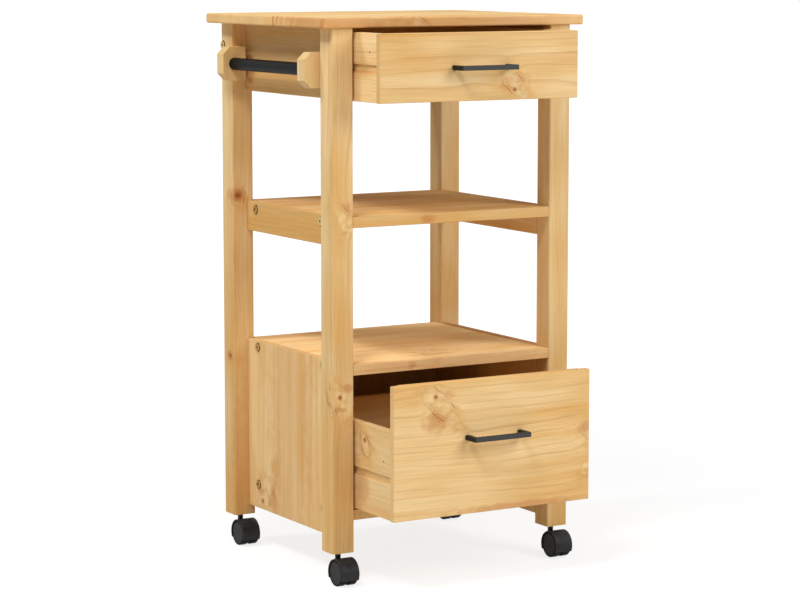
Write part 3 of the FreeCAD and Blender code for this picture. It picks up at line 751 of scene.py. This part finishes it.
class CART_OT_drawers(bpy.types.Operator):
    """Finish both drawers: fronts, sides, backs and bottoms."""

    bl_idname = "cart.drawers"
    bl_label = "Drawers"

    def execute(self, context):
        top_knot = Knot(64, -30, 31, 14, turn=-42, heart=(3.0, -2, -7))
        top_shades = (Stain(48, -28, 16, 13, 0.35), Stain(78, -19, 14, 11, 0.3))
        top = Board("X", "Z", pith=-58, depth=60, rings=12, lines=0.8, tone=0.97, gold=(0.55, 0.05))
        top = top._replace(knots=(top_knot,), stains=top_shades)
        high_knot = Knot(-91, 64, 46, 15, turn=-45, heart=(3.6, -14, 20))
        high_shades = (Stain(-106, 43, 28, 20, 0.5), Stain(-80, 84, 14, 9, 0.3))
        edge_knot = Knot(185, 13, 24, 17, turn=30, dashes=0.8)
        edge_shade = Stain(178, 12, 24, 12, 0.55)
        low_edge_knot = Knot(180, -54, 16, 12, dashes=0.3)
        red_edge = Stain(40, -101, 150, 8, 0.5)
        bottom = Board("X", "Z", pith=150, depth=60, rings=12, lines=0.75, tone=1.07, gold=(-0.2, 0.35))
        bottom = bottom._replace(knots=(high_knot, edge_knot, low_edge_knot))
        bottom = bottom._replace(stains=(*high_shades, edge_shade, red_edge))
        side_knot = Knot(-76, 40, 26, 11, turn=60, heart=(3.5, 0, 4), dashes=1.0)
        low_stain = Stain(-70, -30, 22, 30, 0.4)
        side = Board("Y", "Z", pith=60, depth=42, lines=0.8, tone=1.1, gold=(-0.15, -0.15))
        # The inner boards are darker and redder than the outer ones: painted shade of the drawers' insides
        inner = Board("X", "Z", pith=55, depth=45, tone=0.92, gold=(0.4, 0.4))
        boards = {
            "top_drawer_front": top,
            "bottom_drawer_front": bottom,
            "top_drawer_side_left": side,
            "bottom_drawer_side_left": side._replace(tone=1.05, knots=(side_knot,), stains=(low_stain,)),
        }
        for name in ("top_drawer", "bottom_drawer"):
            boards[name + "_side_right"] = inner._replace(grain="Y")
            boards[name + "_back"] = inner
            boards[name + "_bottom"] = inner._replace(across="Y", depth=120)
        cut_boards(boards, first_seed=51)
        return {"FINISHED"}


class CART_OT_handles(bpy.types.Operator):
    """Finish the two bar handles."""

    bl_idname = "cart.handles"
    bl_label = "Handles"

    def execute(self, context):
        # Die-cast zinc, powder coated: charcoal with a soft sheen. Faces that look to the front and back
        # get a paler colour, a painted highlight
        fittings = context.scene.cart_fittings
        names = ["top_drawer_handle", "bottom_drawer_handle"]
        colours = fittings.handle, fittings.handle_front_painted_highlight
        front = (0.0, 1.0, 0.0)
        plain_finish("charcoal_powder_coat", names, colours, grain=1.4, rough=0.45, sheen=0.12, face=front)
        return {"FINISHED"}


class CART_OT_runners(bpy.types.Operator):
    """Finish the wooden runners and the dowels."""

    bl_idname = "cart.runners"
    bl_label = "Runners and dowels"

    def execute(self, context):
        boards = {
            "top_runners": Board("Y", "Z", pith=20, depth=400),
            "bottom_runners": Board("Y", "Z", pith=-20, depth=400),
        }
        cut_boards(boards, first_seed=71)
        # Beech, turned: pale pinkish brown with short flecks
        colours = context.scene.cart_fittings.dowel, linear("C99E74")
        plain_finish("turned_beech", ["wood_dowels"], colours, grain=1.0, rough=0.6, sheen=0.3, patch=6)
        return {"FINISHED"}


class CART_OT_fasteners(bpy.types.Operator):
    """Finish the panel bolts, barrel nuts, screws and axles."""

    bl_idname = "cart.fasteners"
    bl_label = "Fasteners"

    def execute(self, context):
        fittings = context.scene.cart_fittings
        # Steel, zinc plated and yellow passivated: brassy on the face, with the sideways-facing rim
        # painted darker brown as painted shade
        colours = fittings.bolt_rim_painted_shade, fittings.bolt_face
        head = (1.0, 0.0, 0.0)
        names = ["panel_bolts"]
        plain_finish("yellow_zinc", names, colours, grain=0.8, rough=0.32, metallic=1.0, face=head)
        # Steel, bright zinc plated: pale grey with a cloudy gloss
        names = ["barrel_nuts", "runner_screws", "top_drawer_handle_screws", "bottom_drawer_handle_screws"]
        names += [castor + "_axle" for castor in CASTORS]
        colours = fittings.steel, linear("A9ACAF")
        plain_finish("bright_zinc", names, colours, grain=0.8, rough=0.35, metallic=1.0, patch=5)
        return {"FINISHED"}


class CART_OT_castors(bpy.types.Operator):
    """Finish the castors: stems, sockets, hoods and wheels."""

    bl_idname = "cart.castors"
    bl_label = "Castors"

    def execute(self, context):
        fittings = context.scene.cart_fittings
        # Nylon, moulded with a fine spark-eroded grain: black with a dull sheen
        names = [*(castor + "_hood" for castor in CASTORS), "castor_sockets"]
        colours = fittings.hood, linear("2D2D2E")
        plain_finish("black_nylon", names, colours, grain=0.9, rough=0.5, sheen=0.2, patch=9)
        # Steel, black zinc plated: near black, with the soft gloss of the plating
        names = [castor + "_stem" for castor in CASTORS]
        colours = fittings.stem, linear("343437")
        plain_finish("black_zinc", names, colours, grain=0.8, rough=0.4, metallic=1.0, patch=5)
        # Nylon, moulded in a polished tool: a dark grey disc in a black rim, smoother than the hoods
        wheels = [f"{castor}_wheel_{side}" for castor in CASTORS for side in ("left", "right")]
        colours = fittings.rim, fittings.wheel
        for wheel in wheels:
            name = "grey_nylon_" + wheel
            plain_finish(name, [wheel], colours, grain=0.9, rough=0.45, sheen=0.06, disc=DISH_RADIUS)
        return {"FINISHED"}


# Stage


def seen_directly(tree):
    """1 where the camera, a reflection or a clear piece looks straight at the stage."""
    path = add(tree, "LightPath")
    seen = {0: path.outputs["Is Camera Ray"], 1: path.outputs["Is Glossy Ray"]}
    seen = add(tree, "Math", seen, operation="MAXIMUM")
    return add(tree, "Math", {0: seen, 1: path.outputs["Is Transmission Ray"]}, operation="MAXIMUM")


def direction(azimuth, elevation):
    """From the cart towards a place round it."""
    level = math.cos(elevation)
    return Vector((math.sin(azimuth) * level, -math.cos(azimuth) * level, math.sin(elevation)))


def look_from(thing, place, aim):
    thing.location = place
    thing.rotation_euler = (aim - place).to_track_quat("-Z", "Y").to_euler()
    bpy.context.scene.collection.objects.link(thing)


def hang_lamp(name, power, lamp, aim):
    """A round softbox that shines on the aim."""
    light = bpy.data.lights.new(name, "AREA")
    light.shape = "DISK"
    light.size = lamp.width
    light.energy = power
    outward = direction(math.radians(lamp.azimuth), math.radians(lamp.elevation))
    look_from(bpy.data.objects.new(name, light), aim + LAMP_DISTANCE * outward, aim)


def lay_floor(colour):
    """A wide plane that gives the lamps' light back to the cart and looks white, with a shadow."""
    sides = ((-1, -1), (1, -1), (1, 1), (-1, 1))
    corners = [(x * FLOOR_HALF, y * FLOOR_HALF, 0) for x, y in sides]
    mesh = bpy.data.meshes.new("floor")
    mesh.from_pydata(corners, [], [(0, 1, 2, 3)])
    material = bpy.data.materials.new("pale_floor")
    tree = empty_tree(material)
    matt = add(tree, "BsdfDiffuse", {"Color": opaque(colour)})
    # Seen directly, it glows: less within 0.8 m of the middle, where the lamps make up for it
    shaded = add(tree, "BsdfDiffuse", {"Color": FLOOR_SHADE})
    away = add(tree, "VectorMath", {0: add(tree, "TexCoord").outputs["Object"]}, operation="LENGTH")
    strength = {"From Min": 0.8, "From Max": 3.0, "To Min": 0.8, "To Max": 1.0}
    strength = add(tree, "MapRange", {"Value": away.outputs["Value"], **strength})
    glow = add(tree, "Emission", {"Color": WHITE, "Strength": strength})
    white = add(tree, "AddShader", {0: shaded, 1: glow})
    shader = add(tree, "MixShader", {0: seen_directly(tree), 1: matt, 2: white})
    add(tree, "OutputMaterial", {"Surface": shader})
    mesh.materials.append(material)
    floor = bpy.data.objects.new("floor", mesh)
    floor.location.z = cad_box[0].z
    bpy.context.scene.collection.objects.link(floor)


class CART_OT_stage(bpy.types.Operator):
    """Lay the floor, set the light and place the camera."""

    bl_idname = "cart.stage"
    bl_label = "Stage"

    def execute(self, context):
        stage = context.scene.cart_stage
        context.scene.view_settings.view_transform = "Standard"
        lay_floor(stage.floor)

        world = bpy.data.worlds.new("studio")
        tree = empty_tree(world)
        strength = {"Value": seen_directly(tree), "To Min": stage.sky, "To Max": 1.0}
        strength = add(tree, "MapRange", strength)
        sky = add(tree, "Background", {"Color": WHITE, "Strength": strength})
        add(tree, "OutputWorld", {"Surface": sky})
        context.scene.world = world

        aim = Vector(stage.aim)
        hang_lamp("key_light", stage.key_power, KEY_LAMP, aim)
        hang_lamp("fill_light", stage.fill_power, FILL_LAMP, aim)
        hang_lamp("side_light", stage.side_power, SIDE_LAMP, aim)

        camera_data = bpy.data.cameras.new("camera")
        camera_data.lens = stage.lens
        camera = bpy.data.objects.new("camera", camera_data)
        look_from(camera, aim + stage.distance * direction(stage.azimuth, stage.elevation), aim)
        context.scene.camera = camera
        return {"FINISHED"}


class CART_PT_panel(bpy.types.Panel):
    """The cart's settings, and a button for each group of pieces."""

    bl_idname = "CART_PT_panel"
    bl_label = "Pine kitchen cart"
    bl_space_type = "VIEW_3D"
    bl_region_type = "UI"
    bl_category = "Cart"

    def draw(self, context):
        for operator in PIECES:
            self.layout.operator(operator.bl_idname)
        for group in SETTINGS:
            box = self.layout.box()
            for name in SETTINGS[group].__annotations__:
                box.prop(getattr(context.scene, group), name)


SETTINGS = {"cart_pine": CartPine, "cart_fittings": CartFittings, "cart_stage": CartStage}
PIECES = (
    CART_OT_worktop,
    CART_OT_legs,
    CART_OT_side_boards,
    CART_OT_shelves,
    CART_OT_towel_rail,
    CART_OT_drawers,
    CART_OT_handles,
    CART_OT_runners,
    CART_OT_fasteners,
    CART_OT_castors,
    CART_OT_stage,
)
CLASSES = (*SETTINGS.values(), *PIECES, CART_PT_panel)


def register():
    for each in CLASSES:
        bpy.utils.register_class(each)
    for name, group in SETTINGS.items():
        setattr(bpy.types.Scene, name, bpy.props.PointerProperty(type=group))


def unregister():
    for name in SETTINGS:
        delattr(bpy.types.Scene, name)
    for each in reversed(CLASSES):
        bpy.utils.unregister_class(each)


def main():
    register()
    bpy.ops.cart.worktop()
    bpy.ops.cart.legs()
    bpy.ops.cart.side_boards()
    bpy.ops.cart.shelves()
    bpy.ops.cart.towel_rail()
    bpy.ops.cart.drawers()
    bpy.ops.cart.handles()
    bpy.ops.cart.runners()
    bpy.ops.cart.fasteners()
    bpy.ops.cart.castors()
    bpy.ops.cart.stage()


if __name__ == "__main__":
    main()
